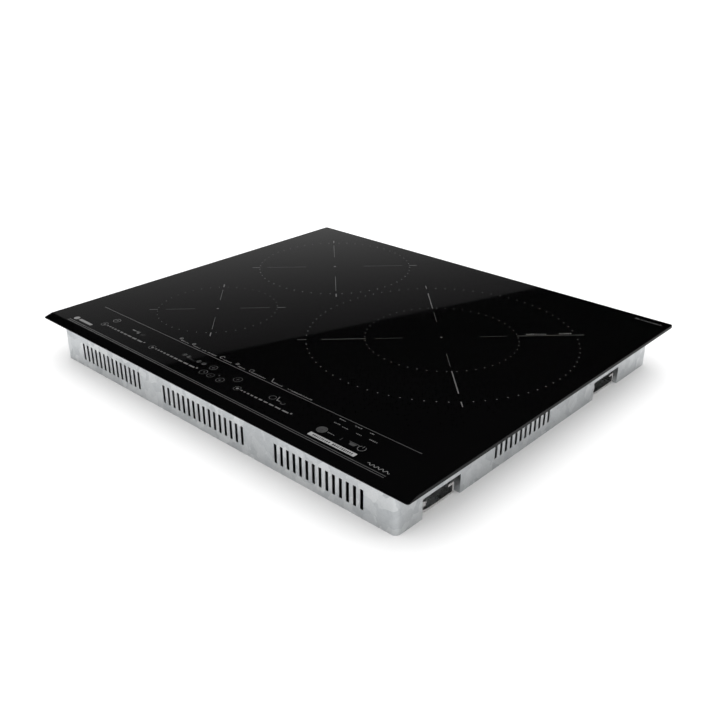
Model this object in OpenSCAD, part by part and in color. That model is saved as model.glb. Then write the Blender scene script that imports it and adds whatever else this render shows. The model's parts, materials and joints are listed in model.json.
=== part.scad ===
// Built-in glass cooktop with three induction zones, touch controls and a steel casing.
// +X is right, +Y is back, +Z is up. The origin is the centre of the casing's underside.

/* [Glass] */
// Width of the glass, left to right
glass_w = 600; // [590:1:610]
// Depth of the glass, front to back
glass_d = 510; // [505:1:520]
// Thickness of the glass
glass_t = 4; // [3:0.5:6]
// Radius of the glass corners
glass_corner = 3; // [1:0.5:6]
// Width of the ground slope along the front edge
bevel_w = 11.5; // [4:0.5:12]
// Height of glass left below the front slope
bevel_lip = 1; // [0.5:0.1:2]

/* [Casing] */
// Height from the casing's underside to the glass
body_h = 52; // [51:1:58]
// Outside width of the tray
tray_w = 554; // [550:1:556]
// Outside depth of the tray
tray_d = 484; // [482:1:486]
// Thickness of the tray's steel sheet
sheet = 0.8; // [0.6:0.1:1]
// Radius of the tray's upright corners
tray_corner = 6; // [3:1:8]
// Thickness of the foam seal under the glass rim
gasket_t = 1.6; // [1:0.1:2]
// Width of the foam seal
gasket_w = 8; // [5:1:9]

/* [Cooking zones] */
// Rear left zone centre, left to right
rear_left_x = -155; // [-157:1:-153]
// Rear left zone centre, front to back
rear_left_y = 125; // [122:1:126]
// Outside radius of the rear left winding
rear_left_r = 100; // [90:1:100]
// Front left zone centre, left to right
front_left_x = -154.5; // [-160:0.5:-150]
// Front left zone centre, front to back
front_left_y = -92; // [-95:1:-90]
// Outside radius of the front left winding
front_left_r = 72; // [66:1:72]
// Right zone centre, left to right
right_x = 113; // [112:1:114]
// Right zone centre, front to back
right_y = 31.5; // [28:0.5:36]
// Outside radius of the right zone's outer winding
right_r = 150; // [140:1:150]
// Outside radius of the right zone's inner winding
right_inner_r = 86; // [80:1:86]
// Distance the sprung coils can be pushed down
coil_travel = 2; // [1:0.5:2.5]

/* [Fan] */
// Fan axis, left to right
fan_x = -10; // [-12:1:-8]
// Fan axis, front to back
fan_y = 140; // [138:1:142]
// Outside radius of the fan wheel
fan_r = 44; // [40:1:46]
// Number of blades on the fan wheel
fan_blades = 34; // [24:1:38]

/* [Clamps] */
// Length of a worktop clamp from its pivot
clamp_len = 40; // [30:1:40]
// Width of a worktop clamp
clamp_w = 14; // [10:1:14]
// Pivot of the front clamps, front to back
clamp_front_y = -195; // [-200:1:-190]
// Pivot of the back clamps, front to back
clamp_back_y = 120; // [115:1:140]

/* [Mains inlet] */
// Gland centre, left to right
gland_x = 190; // [185:1:195]
// Gland centre height
gland_z = 20; // [18:1:22]
// Radius of the cable hole in the gland
gland_bore_r = 5.5; // [4:0.5:6]

/* [Hidden] */
$fn = 64;
eps = 0.05;

// heights, from the glass down
glass_z = body_h;
seat_z = glass_z - gasket_t;
bead_t = 1;
frame_top = glass_z - bead_t;
frame_t = 1.2;
tray_h = frame_top - frame_t - 0.2;
mica_top = glass_z - 0.3;
mica_t = 0.7;
litz_r = 1.8;
litz_pitch = 3.9;
litz_z = mica_top - mica_t - 0.2 - litz_r;
former_top = litz_z - litz_r - 0.2;
former_t = 2.4;
ferrite_t = 4;
ferrite_top = former_top - former_t - 0.2;
carrier_t = 2;
carrier_top = ferrite_top - ferrite_t - 0.2;
carrier_z = carrier_top - carrier_t;

// floor level of the electronics
base_z = sheet;
base_t = 2;
base_top = base_z + base_t;
board_t = 1.6;
board_z = base_top + 3.4;
board_top = board_z + board_t;

// inside of the tray and the frame that carries the glass
inner_w = tray_w - 2 * sheet;
inner_d = tray_d - 2 * sheet;
skirt_gap = 0.2;
skirt_w = inner_w - 2 * skirt_gap;
skirt_d = inner_d - 2 * skirt_gap;
skirt_z = 37;
skirt_h = frame_top - frame_t - skirt_z;
flange_w = 9.5;
bead_w = 7;

// air slots in the tray's walls
slot_w = 4;
slot_pitch = 9;

// pockets in the tray's sides, one for each clamp
pocket_w = 19;
pocket_h = 22;
pocket_front = 10;
pocket_back = clamp_len + 8;
clamp_x = tray_w / 2 - 9;
clamp_z = 4;
clamp_t = 2;
clamp_screw_r = 2.5;
clamp_pivots = [clamp_front_y, clamp_back_y];

// the plastic base and what stands on it
base_w = 512;
base_front = -182;
base_back = 232;
post_r = 6.5;
post_top = 31;
guide_pin_r = 2.2;
pin_rise = 1.8;
spring_r = 4.4;
spring_wire_r = 0.6;
spring_turns = 3;
left_posts = [[-249, -165], [-64, -165], [-249, 217], [-92, 217]];
right_posts = [[-28, -165], [249, -165], [72, 217], [249, 92]];

// coil carrier plates
carrier_front = -176;
carrier_back = 226;
left_plate_x = [-262, -50];
right_plate_x = [-44, 266];
lead_hole_r = 9;
rear_left_lead = [-94, 86];
front_left_lead = [-110, -74];
right_inner_lead = [60, 10];
right_outer_lead = [28, -53];

// power boards, heatsinks and the air duct between them
board_front = -150;
board_back = 74;
board_outer = 250;
duct_left = fan_x - 54;
duct_right = fan_x + 54;
sink_front = -138;
sink_back = 65;
sink_base_t = 6;
sink_top = 30;
duct_top = 32;

// fan housing
housing_half = 58;
housing_z = 4;
housing_top = 31;
wheel_z = 6.5;
wheel_top = 28;
rotor_r = 19;
shaft_r = 1.5;
shaft_fit = 0.05;

// terminal box and filter
terminal_w = 84;
terminal_d = 44;
terminal_y = 206;
terminal_left = gland_x - terminal_w / 2;
terminal_right = gland_x + terminal_w / 2;
terminal_front = terminal_y - terminal_d / 2;
terminal_back = terminal_y + terminal_d / 2;
cover_screw_x = terminal_left + 11;
filter_x = [92, 236];
filter_y = [98, 168];
supply_x = [-240, -100];
supply_y = [96, 190];

// touch controls
touch_w = 472;
touch_d = 38;
touch_y = -207;
touch_floor = 42;
touch_board_z = 46;
slider_y = -218.75;
slider_x = [-214, -116, 37];
slider_len = 80;
slider_pads = 6;
key_y = -204;
key_x = [-215.5, -22.5, 19.5, 162, 213];

// ---- shared shapes ----

// rectangle with round corners, centred
module round_rect(w, d, r) {
    square([w - 2 * r, d], center = true);
    square([w, d - 2 * r], center = true);
    for (x = [-1, 1])
        for (y = [-1, 1])
            translate([x * (w / 2 - r), y * (d / 2 - r)])
                circle(r);
}

// flat plate with round corners, its underside at z
module plate(w, d, r, z, t) {
    translate([0, 0, z])
        linear_extrude(t)
            round_rect(w, d, r);
}

// upright rectangular band, its outer size given
module band(w, d, r, wide, z, t) {
    difference() {
        plate(w, d, r, z, t);
        plate(w - 2 * wide, d - 2 * wide, max(r - wide, 0.5), z - 1, t + 2);
    }
}

// block between two corners
module block(low, high) {
    translate(low)
        cube(high - low);
}

// upright tube
module tube(outer, inner, z, t) {
    translate([0, 0, z])
        difference() {
            cylinder(r = outer, h = t);
            translate([0, 0, -1])
                cylinder(r = inner, h = t + 2);
        }
}

// pan-head screw, the underside of its head at z = 0, its shank pointing down
module pan_screw(r, length) {
    difference() {
        union() {
            cylinder(r = 2 * r, h = 0.9 * r);
            translate([0, 0, 0.9 * r])
                cylinder(r = 1.5 * r, h = 0.3 * r);
            translate([0, 0, -length])
                cylinder(r = r, h = length + eps);
        }
        for (turn = [0, 90])
            rotate([0, 0, turn])
                translate([-1.1 * r, -0.2 * r, 0.55 * r])
                    cube([2.2 * r, 0.4 * r, r]);
    }
}

// point on a smooth curve between b and c
function curve_point(a, b, c, d, t) =
    0.5 * (2 * b + (c - a) * t + (2 * a - 5 * b + 4 * c - d) * t * t
           + (3 * b - a - 3 * c + d) * t * t * t);

// smooth route through hand-placed points
function route(points, steps) = concat(
    [for (i = [0:len(points) - 2]) for (k = [0:steps - 1])
        curve_point(points[max(i - 1, 0)], points[i], points[i + 1],
                    points[min(i + 2, len(points) - 1)], k / steps)],
    [points[len(points) - 1]]);

function unit(v) = v / norm(v);

// direction of a route at ring i
function heading(points, i) =
    unit(points[min(i + 1, len(points) - 1)] - points[max(i - 1, 0)]);

// round wire swept along a route
module wire(points, r, sides = 8) {
    lean = [0.31, 0.17, 0.93];
    rings = len(points);
    corners = [for (i = [0:rings - 1])
        let (ahead = heading(points, i), across = unit(cross(ahead, lean)), up = cross(across, ahead))
        for (k = [0:sides - 1])
            points[i] + r * (cos(360 * k / sides) * across + sin(360 * k / sides) * up)];
    walls = [for (i = [0:rings - 2]) for (k = [0:sides - 1])
        [i * sides + k, i * sides + (k + 1) % sides, (i + 1) * sides + (k + 1) % sides, (i + 1) * sides + k]];
    first = [for (k = [0:sides - 1]) sides - 1 - k];
    last = [for (k = [0:sides - 1]) (rings - 1) * sides + k];
    polyhedron(points = corners, faces = concat(walls, [first, last]));
}

// ---- glass and what carries it ----

// black glass-ceramic plate, ground to a slope along its front edge
module glass_top() {
    color("#101114")
        difference() {
            plate(glass_w, glass_d, glass_corner, glass_z, glass_t);
            translate([-glass_w / 2 - 1, -glass_d / 2, glass_z + glass_t])
                rotate([90, 0, 90])
                    linear_extrude(glass_w + 2)
                        polygon([[bevel_w, 0], [0, bevel_lip - glass_t], [-2, bevel_lip - glass_t],
                                 [-2, 2], [bevel_w, 2]]);
        }
}

// silicone bead that bonds the glass to its frame
module glass_adhesive() {
    color("#303030")
        band(tray_w - flange_w + bead_w, tray_d - flange_w + bead_w, 5, bead_w, frame_top, bead_t);
}

// foam seal between the glass rim and the worktop
module worktop_gasket() {
    color("#3a3a3a")
        band(glass_w - 6, glass_d - 6, 2, gasket_w, seat_z, gasket_t);
}

// angle-section frame bonded under the glass
module support_frame() {
    color("#b9bdc0")
        difference() {
            union() {
                band(tray_w, tray_d, tray_corner, flange_w, frame_top - frame_t, frame_t);
                band(skirt_w, skirt_d, tray_corner - 1, frame_t, skirt_z, skirt_h + eps);
            }
            tray_screw_places()
                translate([0, 0, -8])
                    cylinder(r = 1.6, h = 12);
        }
}

// puts its children at every side screw, with +Z pointing out of the casing
module tray_screw_places() {
    for (side = [-1, 1]) {
        for (y = [-150, 0, 190])
            translate([side * tray_w / 2, y, tray_h - 6])
                rotate([0, side * 90, 0])
                    children();
        for (x = [-200, 0, 230])
            translate([x, side * tray_d / 2, tray_h - 6])
                rotate([-side * 90, 0, 0])
                    children();
    }
}

// self-tapping screws through the tray's walls into the frame
module tray_screws() {
    color("#c8c8cc")
        tray_screw_places()
            pan_screw(1.5, 5);
}

// ---- tray ----

// clamp pockets, grown outward by extra
module pocket_blocks(extra) {
    for (side = [0, 1])
        mirror([side, 0, 0])
            for (y = clamp_pivots)
                block([tray_w / 2 - pocket_w - extra, y - pocket_front - extra, -1],
                      [tray_w / 2 + 1, y + pocket_back + extra, pocket_h + extra]);
}

// holes for the clamp screws, through the pocket roofs
module pocket_screw_holes() {
    for (side = [-1, 1])
        for (y = clamp_pivots)
            translate([side * clamp_x, y, pocket_h - 1])
                cylinder(r = clamp_screw_r + 0.2, h = 4);
}

// row of upright air slots in a wall that faces along Y
module wall_slots(from, count, y) {
    for (i = [0:count - 1])
        block([from + i * slot_pitch, y - 4, 10], [from + i * slot_pitch + slot_w, y + 4, 32]);
}

// row of upright air slots in both side walls
module side_slots(from, count) {
    for (i = [0:count - 1])
        block([-tray_w, from + i * slot_pitch, 12], [tray_w, from + i * slot_pitch + slot_w, 30]);
}

// parallel air slots under the fan, each as long as the circle is there
module intake_slots() {
    pitch = 7.5;
    rows = 5;
    for (i = [-rows:rows]) {
        half = sqrt(pow(fan_r - 2, 2) - pow(i * pitch, 2));
        for (end = [-1, 1])
            translate([fan_x, fan_y + i * pitch, sheet / 2])
                translate([end * (half / 2 + 1), 0, 0])
                    cube([half - 2, slot_w, 4], center = true);
    }
}

// folded steel tray with air slots, clamp pockets and the mains openings
module bottom_tray() {
    color("#aeb3b7")
        difference() {
            union() {
                difference() {
                    plate(tray_w, tray_d, tray_corner, 0, tray_h);
                    plate(inner_w, inner_d, tray_corner - sheet, sheet, tray_h);
                }
                intersection() {
                    pocket_blocks(sheet);
                    plate(tray_w, tray_d, tray_corner, 0, tray_h);
                }
            }
            pocket_blocks(0);
            pocket_screw_holes();
            intake_slots();
            wall_slots(-236, 14, -tray_d / 2);
            wall_slots(116, 14, -tray_d / 2);
            wall_slots(-70, 16, -tray_d / 2);
            wall_slots(-62, 12, tray_d / 2);
            side_slots(-90, 12);
            translate([gland_x, tray_d / 2 - 4, gland_z])
                rotate([-90, 0, 0])
                    cylinder(r = 9.2, h = 8);
            block([terminal_left + 6, terminal_y - 16, -1], [terminal_right - 6, terminal_y + 16, 4]);
            tray_screw_places()
                translate([0, 0, -4])
                    cylinder(r = 1.6, h = 8);
        }
}

// blank aluminium plate riveted to the rear wall
module rating_plate() {
    color("#d6d8da")
        translate([-150, tray_d / 2 + 0.3, 24])
            rotate([90, 0, 0])
                linear_extrude(0.3)
                    round_rect(76, 26, 2);
}

// ---- worktop clamps ----

// puts its children at a clamp's pivot; the arm rests along +Y
module clamp_place(side, y) {
    translate([side * clamp_x, y, 0])
        children();
}

// toothed steel clamp that swings out under the worktop
module clamp() {
    hole_r = clamp_screw_r + 0.05;
    color("#c9ccd0")
        difference() {
            union() {
                translate([0, 0, clamp_z])
                    linear_extrude(clamp_t) {
                        circle(clamp_w / 2);
                        translate([-clamp_w / 2, 0])
                            square([clamp_w, clamp_len]);
                    }
                translate([0, 0, clamp_z])
                    cylinder(r = 4.6, h = 9);
                block([-clamp_w / 2, clamp_len - clamp_t, clamp_z], [clamp_w / 2, clamp_len, clamp_z + 12]);
                block([-clamp_w / 2, clamp_len - 9, clamp_z + 10], [clamp_w / 2, clamp_len, clamp_z + 12]);
                for (i = [0:3])
                    translate([-clamp_w / 2, clamp_len - 8.5 + 2.2 * i, clamp_z + 12])
                        rotate([90, 0, 90])
                            linear_extrude(clamp_w)
                                polygon([[0, -eps], [1.6, -eps], [0.8, 1.2]]);
            }
            translate([0, 0, clamp_z - 1])
                cylinder(r = hole_r, h = 12);
        }
}

module clamp_front_left() {
    clamp_place(-1, clamp_front_y)
        clamp();
}

module clamp_front_right() {
    clamp_place(1, clamp_front_y)
        clamp();
}

module clamp_back_left() {
    clamp_place(-1, clamp_back_y)
        clamp();
}

module clamp_back_right() {
    clamp_place(1, clamp_back_y)
        clamp();
}

// screws that the clamps swing on, and their weld nuts above the pockets
module clamps_hardware() {
    color("#d2d2c8")
        for (side = [-1, 1])
            for (y = clamp_pivots)
                clamp_place(side, y) {
                    translate([0, 0, clamp_z - 0.4])
                        rotate([180, 0, 0])
                            difference() {
                                cylinder(r = 4.4, h = 2.6);
                                for (turn = [0, 90])
                                    rotate([0, 0, turn])
                                        translate([-2.4, -0.5, 1.4])
                                            cube([4.8, 1, 2]);
                            }
                    translate([0, 0, clamp_z - 0.4 - eps])
                        cylinder(r = clamp_screw_r, h = 28);
                    difference() {
                        translate([0, 0, pocket_h + sheet])
                            cylinder(r = 4.6, h = 4, $fn = 6);
                        translate([0, 0, pocket_h])
                            cylinder(r = clamp_screw_r + 0.05, h = 8);
                    }
                }
}

// ---- mains inlet ----

// plastic box round the mains terminals, with a ribbed boss for the cover's screw
module terminal_box() {
    wall = 1.8;
    color("#2c2c2e")
        difference() {
            union() {
                difference() {
                    block([terminal_left, terminal_front, base_z], [terminal_right, terminal_back, 33]);
                    block([terminal_left + wall, terminal_front + wall, 0],
                          [terminal_right - wall, terminal_back - wall, 33 - wall]);
                }
                translate([cover_screw_x, terminal_y, base_z + 1.4])
                    cylinder(r = 3.6, h = 12);
                block([terminal_left + eps, terminal_y - 1.2, base_z + 1.4],
                      [cover_screw_x, terminal_y + 1.2, base_z + 13.4]);
            }
            translate([gland_x, terminal_back - 4, gland_z])
                rotate([-90, 0, 0])
                    cylinder(r = 10.5, h = 8);
            block([gland_x - 30, terminal_front - 1, 12], [gland_x + 30, terminal_front + 4, 17]);
            translate([cover_screw_x, terminal_y, 0])
                cylinder(r = 1.4, h = 12);
        }
}

// access cover, flush with the casing's underside
module terminal_cover() {
    color("#2c2c2e")
        difference() {
            union() {
                block([terminal_left + 6.4, terminal_y - 15.6, 0],
                      [terminal_right - 6.4, terminal_y + 15.6, sheet]);
                for (y = [-9, 9])
                    block([terminal_right - 12, terminal_y + y - 4, sheet],
                          [terminal_right - 2.4, terminal_y + y + 4, sheet + 1.2]);
                translate([cover_screw_x, terminal_y, 0])
                    cylinder(r = 4, h = base_z + 1.2);
            }
            translate([cover_screw_x, terminal_y, -1])
                cylinder(r = 1.7, h = 6);
            translate([cover_screw_x, terminal_y, -1])
                cylinder(r = 3.4, h = 2);
        }
}

// countersunk in the cover so that nothing stands below the casing
module terminal_cover_screw() {
    color("#c8c8cc")
        translate([cover_screw_x, terminal_y, 1])
            rotate([180, 0, 0]) {
                cylinder(r = 3, h = 0.9);
                translate([0, 0, -9])
                    cylinder(r = 1.35, h = 9 + eps);
            }
}

poles = 5;
pole_pitch = 10;
function pole_x(i) = gland_x + (i - (poles - 1) / 2) * pole_pitch;

// five-pole mains terminal block
module terminal_block() {
    color("#e6e3d8")
        difference() {
            union() {
                block([pole_x(0) - 5.4, terminal_y - 11, 8], [pole_x(poles - 1) + 5.4, terminal_y + 5, 20]);
                for (i = [0:poles])
                    block([pole_x(i) - 5.7, terminal_y - 11, 4], [pole_x(i) - 4.3, terminal_y + 5, 22]);
                block([pole_x(0) - 5.4, terminal_y - 4, 20 - eps], [pole_x(poles - 1) + 5.4, terminal_y, 31]);
            }
            for (i = [0:poles - 1]) {
                for (y = [-7.5, 1.5])
                    translate([pole_x(i), terminal_y + y, 3])
                        cylinder(r = 2.3, h = 9);
                translate([pole_x(i), terminal_y - 12, 14.5])
                    rotate([-90, 0, 0])
                        cylinder(r = 2.2, h = 18);
            }
        }
}

// clamping screws of the terminal block
module terminal_screws() {
    color("#c9b27a")
        for (i = [0:poles - 1])
            for (y = [-7.5, 1.5])
                translate([pole_x(i), terminal_y + y, 8.6])
                    rotate([180, 0, 0])
                        difference() {
                            translate([0, 0, -3])
                                cylinder(r = 2.1, h = 5);
                            translate([-3, -0.4, 1])
                                cube([6, 0.8, 2]);
                        }
}

// cable gland in the rear wall and the nut that holds it
module cable_gland() {
    color("#1f1f21")
        translate([gland_x, tray_d / 2, gland_z])
            rotate([-90, 0, 0]) {
                difference() {
                    union() {
                        cylinder(r = 12, h = 2.4);
                        translate([0, 0, -12])
                            cylinder(r = 9, h = 12 + eps);
                    }
                    translate([0, 0, -13])
                        cylinder(r = gland_bore_r, h = 17);
                }
                difference() {
                    translate([0, 0, -sheet - 5.2])
                        cylinder(r = 13, h = 5, $fn = 6);
                    translate([0, 0, -7])
                        cylinder(r = 9.05, h = 8);
                }
            }
}

stud = [pole_x(4) + 31, terminal_y - 10];

// green and yellow earth lead from the terminal block to a stud on the tray
module earth_wire() {
    color("#7ba43a") {
        wire(route([[pole_x(4), terminal_y - 14, 14.5], [pole_x(4) + 1, terminal_y - 22, 14.5],
                    [pole_x(4) + 10, terminal_y - 28, 12.5], [pole_x(4) + 24, terminal_y - 28, 8],
                    [stud[0], terminal_y - 22, 5], [stud[0], stud[1] - 4.5, 4.1]], 5), 1.5);
        translate([stud[0], stud[1], 0])
            tube(4.4, 2.05, base_z + 2.2, 1);
    }
    color("#c8c8cc")
        translate([stud[0], stud[1], 0]) {
            translate([0, 0, base_z])
                cylinder(r = 2, h = 10);
            tube(3.6, 2.05, base_z + 3.4, 3);
        }
}

// insulated mains leads from the terminal block to the filter
module mains_leads() {
    color("#5a4334")
        for (i = [0:3])
            wire(route([[pole_x(i), terminal_y - 13, 14.5], [pole_x(i) - 1, terminal_y - 20, 14.8],
                        [pole_x(i) - 10, terminal_y - 29, 15.6], [pole_x(i) - 17, filter_y[1] + 1, 14],
                        [pole_x(i) - 18, filter_y[1] - 4, board_top + 1.6]], 4), 1.5);
}

// ---- boards ----

// circuit board with a hole near each corner
module board(low, high) {
    inset = 5;
    color("#2f6b3c")
        difference() {
            block([low[0], low[1], board_z], [high[0], high[1], board_top]);
            for (x = [low[0] + inset, high[0] - inset])
                for (y = [low[1] + inset, high[1] - inset])
                    translate([x, y, board_z - 1])
                        cylinder(r = 1.8, h = board_t + 2);
        }
}

// puts its children at a board's four corner holes
module board_corners(low, high) {
    inset = 5;
    for (x = [low[0] + inset, high[0] - inset])
        for (y = [low[1] + inset, high[1] - inset])
            translate([x, y, 0])
                children();
}

left_board = [[-board_outer, board_front], [fan_x - 3, board_back]];
right_board = [[fan_x + 3, board_front], [board_outer, board_back]];
filter_area = [[filter_x[0], filter_y[0]], [filter_x[1], filter_y[1]]];
supply_area = [[supply_x[0], supply_y[0]], [supply_x[1], supply_y[1]]];
board_areas = [left_board, right_board, filter_area, supply_area];

module left_power_board() {
    board(left_board[0], left_board[1]);
}

module right_power_board() {
    board(right_board[0], right_board[1]);
}

module filter_board() {
    board(filter_area[0], filter_area[1]);
}

module supply_board() {
    board(supply_area[0], supply_area[1]);
}

// screws that hold every board to its posts
module board_screws() {
    color("#c8c8cc")
        for (area = board_areas)
            board_corners(area[0], area[1])
                translate([0, 0, board_top])
                    pan_screw(1.4, 4.6);
}

// ring core with its turns of wire, standing on its edge or lying flat
module choke(core_r, core_t, turns) {
    color("#3d4a3c")
        rotate_extrude()
            translate([core_r, 0])
                round_rect(core_t, core_t, 1);
    color("#b4652c")
        for (i = [0:turns - 1])
            rotate([0, 0, 30 + i * 300 / turns])
                translate([core_r, 0, 0])
                    rotate([90, 0, 0])
                        rotate_extrude()
                            translate([core_t / 2 + 1.9, 0])
                                circle(0.8, $fn = 24);
}

// boxed film capacitor on its two leads
module film_capacitor(w, d, h) {
    translate([0, 0, board_top + 0.4])
        linear_extrude(h)
            round_rect(w, d, 0.8);
    for (x = [-1, 1])
        translate([x * w * 0.35, 0, board_top])
            cylinder(r = 0.5, h = 0.6);
}

// round capacitor standing upright
module can_capacitor(r, h) {
    translate([0, 0, board_top]) {
        cylinder(r = r - 0.3, h = 1.2);
        translate([0, 0, 1.2 - eps])
            cylinder(r = r, h = h);
    }
}

// common-mode chokes, capacitors and fuse of the mains filter
module filter_parts() {
    choke_y = (filter_y[0] + filter_y[1]) / 2 - 6;
    for (x = [filter_x[0] + 28, filter_x[0] + 78])
        translate([x, choke_y, board_top + 6.4])
            choke(11, 7, 12);
    color("#d0a028")
        for (x = [filter_x[0] + 28, filter_x[0] + 78])
            translate([x, filter_y[1] - 16, 0])
                film_capacitor(26, 9, 17);
    color("#3b6fb0")
        for (y = [filter_y[0] + 14, filter_y[0] + 34, filter_y[0] + 54])
            translate([filter_x[1] - 22, y, 0])
                film_capacitor(18, 12, 15);
}

// transformer, capacitors and relay of the low-voltage supply
module supply_parts() {
    centre_x = (supply_x[0] + supply_x[1]) / 2;
    centre_y = (supply_y[0] + supply_y[1]) / 2;
    color("#2a2a2a")
        translate([centre_x - 24, centre_y, board_top])
            linear_extrude(3)
                round_rect(26, 24, 1);
    color("#c9a13a")
        translate([centre_x - 24, centre_y, board_top + 3])
            linear_extrude(16)
                round_rect(20, 18, 2);
    color("#28406a")
        for (y = [-22, 0, 22])
            translate([centre_x + 14, centre_y + y, 0])
                can_capacitor(6.4, 18);
    color("#20242c")
        for (y = [-26, 24])
            translate([centre_x + 44, centre_y + y, 0])
                film_capacitor(26, 12, 14);
    color("#1b1b1b")
        translate([centre_x - 50, centre_y + 24, board_top])
            linear_extrude(2)
                round_rect(14, 14, 0.6);
}

// film capacitors that stand on the power boards
module board_capacitors() {
    color("#c23a2c")
        for (side = [-1, 1])
            for (y = [-112, -62, -12, 38])
                translate([fan_x + side * 98, y, 0])
                    film_capacitor(20, 41, 22);
    color("#2b4f8f")
        for (side = [-1, 1])
            for (y = [-120, -84, -48, -12])
                translate([fan_x + side * 136, y, 0])
                    film_capacitor(14, 26, 19);
    color("#28406a")
        for (side = [-1, 1])
            for (y = [-128, -106, 44])
                translate([fan_x + side * 196, y, 0])
                    can_capacitor(8, 20);
}

// storage chokes on the power boards
module board_chokes() {
    for (side = [-1, 1])
        for (y = [-66, -24, 20])
            translate([fan_x + side * 176, y, board_top + 6.4])
                choke(12, 7, 14);
}

// plug connectors and the screw tags of the coil leads
module board_connectors() {
    color("#ece8dc") {
        for (side = [-1, 1])
            for (place = [[157, -140], [122, 30]])
                translate([fan_x + side * place[0], place[1], board_top])
                    block([-12, 0, 0], [12, 7, 8]);
        for (x = [114, 134])
            block([x - 8, -147, board_top], [x + 8, -141, board_top + 5]);
    }
    color("#d8b25a")
        for (tag = coil_tags)
            translate([tag[0], tag[1], board_top])
                cylinder(r = 3.4, h = 4);
}

// aluminium section: an upright back with level fins, length along Y
module heatsink() {
    fins = 5;
    fin_t = 1.6;
    fin_from = board_top + 1.5;
    fin_step = (sink_top - fin_from - fin_t) / (fins - 1);
    translate([0, sink_back, 0])
        rotate([90, 0, 0])
            linear_extrude(sink_back - sink_front) {
                translate([0, board_top])
                    square([sink_base_t, sink_top - board_top]);
                for (i = [0:fins - 1])
                    translate([sink_base_t - eps, fin_from + i * fin_step])
                        square([42, fin_t]);
            }
}

module left_heatsink() {
    color("#c6cacd")
        translate([duct_left, 0, 0])
            heatsink();
}

module right_heatsink() {
    color("#c6cacd")
        translate([duct_right, 0, 0])
            mirror([1, 0, 0])
                heatsink();
}

// power transistors and bridge rectifiers clamped to the backs of the heatsinks
module transistors() {
    color("#1d1d1f")
        for (side = [-1, 1])
            for (i = [0:6]) {
                wide = i == 3 ? 26 : 15.6;
                y = sink_front + 18 + i * 26;
                x = fan_x + side * 54;
                block([min(x, x + side * 4.8), y - wide / 2, board_top + 2],
                      [max(x, x + side * 4.8), y + wide / 2, board_top + 21]);
            }
    color("#c8c8cc")
        for (side = [-1, 1])
            for (i = [0:6])
                for (leg = [-5, 0, 5])
                    translate([fan_x + side * 56.4, sink_front + 18 + i * 26 + leg, board_top])
                        cylinder(r = 0.5, h = 2 + eps);
}

// hood over both heatsinks that carries the fan's air forward
module air_duct() {
    wall = 1.5;
    color("#2f3133") {
        block([duct_left, -150, sink_top + 0.4], [duct_right, fan_y - housing_half - 1, duct_top]);
        for (x = [duct_left + 8, duct_right - 8 - wall])
            block([x, -150, sink_top - 4], [x + wall, sink_front - 0.5, sink_top + 0.4 + eps]);
    }
}

// ---- plastic base ----

// moulded base that carries the boards, the fan and the coil springs
module base_support() {
    color("#3a3b3d")
        difference() {
            union() {
                block([-base_w / 2, base_front, base_z], [base_w / 2, base_back, base_top]);
                for (post = concat(left_posts, right_posts))
                    translate([post[0], post[1], base_z]) {
                        cylinder(r = post_r, h = post_top - base_z);
                        cylinder(r = guide_pin_r, h = carrier_top + pin_rise - base_z);
                    }
                for (area = board_areas)
                    board_corners(area[0], area[1])
                        translate([0, 0, base_z])
                            cylinder(r = 3.4, h = board_z - base_z);
                for (y = [base_front, base_back - 1.6])
                    block([-base_w / 2, y, base_z], [base_w / 2, y + 1.6, 8]);
                for (x = [-base_w / 2, base_w / 2 - 1.6])
                    block([x, base_front, base_z], [x + 1.6, base_back, 8]);
            }
            for (area = board_areas)
                board_corners(area[0], area[1])
                    translate([0, 0, base_top])
                        cylinder(r = 1.45, h = 5);
            translate([fan_x, fan_y, 0])
                cylinder(r = fan_r + 2, h = 10);
            block([terminal_left - 2, terminal_front - 2, 0], [terminal_right + 2, base_back + 1, 12]);
            block([stud[0] - 6, stud[1] - 8, 0], [stud[0] + 6, stud[1] + 6, 10]);
            for (x = [-200, -150, 120, 170])
                block([x, -30, -1], [x + 30, 30, base_top + 1]);
        }
}

// ---- fan ----

// puts its children at the four corners of the fan housing
module housing_corners() {
    reach = housing_half - 5;
    for (x = [-reach, reach])
        for (y = [-reach, reach])
            translate([fan_x + x, fan_y + y, 0])
                children();
}

// volute with an intake below and an outlet towards the heatsinks
module fan_housing() {
    cavity_r = fan_r + 6;
    color("#2b2d2f")
        difference() {
            block([fan_x - housing_half, fan_y - housing_half, base_top],
                  [fan_x + housing_half, fan_y + housing_half, housing_top]);
            translate([fan_x, fan_y, housing_z + 0.6])
                cylinder(r = cavity_r, h = 40);
            block([fan_x - cavity_r, fan_y - housing_half - 1, housing_z + 0.6],
                  [fan_x + cavity_r - 16, fan_y, housing_top + 1]);
            translate([fan_x, fan_y, 0])
                cylinder(r = fan_r - 6, h = 10);
            housing_corners()
                translate([0, 0, housing_top - 10])
                    cylinder(r = 1.3, h = 12);
        }
}

// lid of the volute, which carries the motor
module fan_cover() {
    color("#2b2d2f")
        difference() {
            union() {
                block([fan_x - housing_half, fan_y - housing_half, housing_top + 0.1],
                      [fan_x + housing_half, fan_y + housing_half, housing_top + 1.6]);
                translate([fan_x, fan_y, 0])
                    tube(6, 3.6, 15, housing_top + 0.1 + eps - 15);
            }
            housing_corners()
                translate([0, 0, housing_top - 1])
                    cylinder(r = 1.7, h = 5);
        }
}

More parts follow.
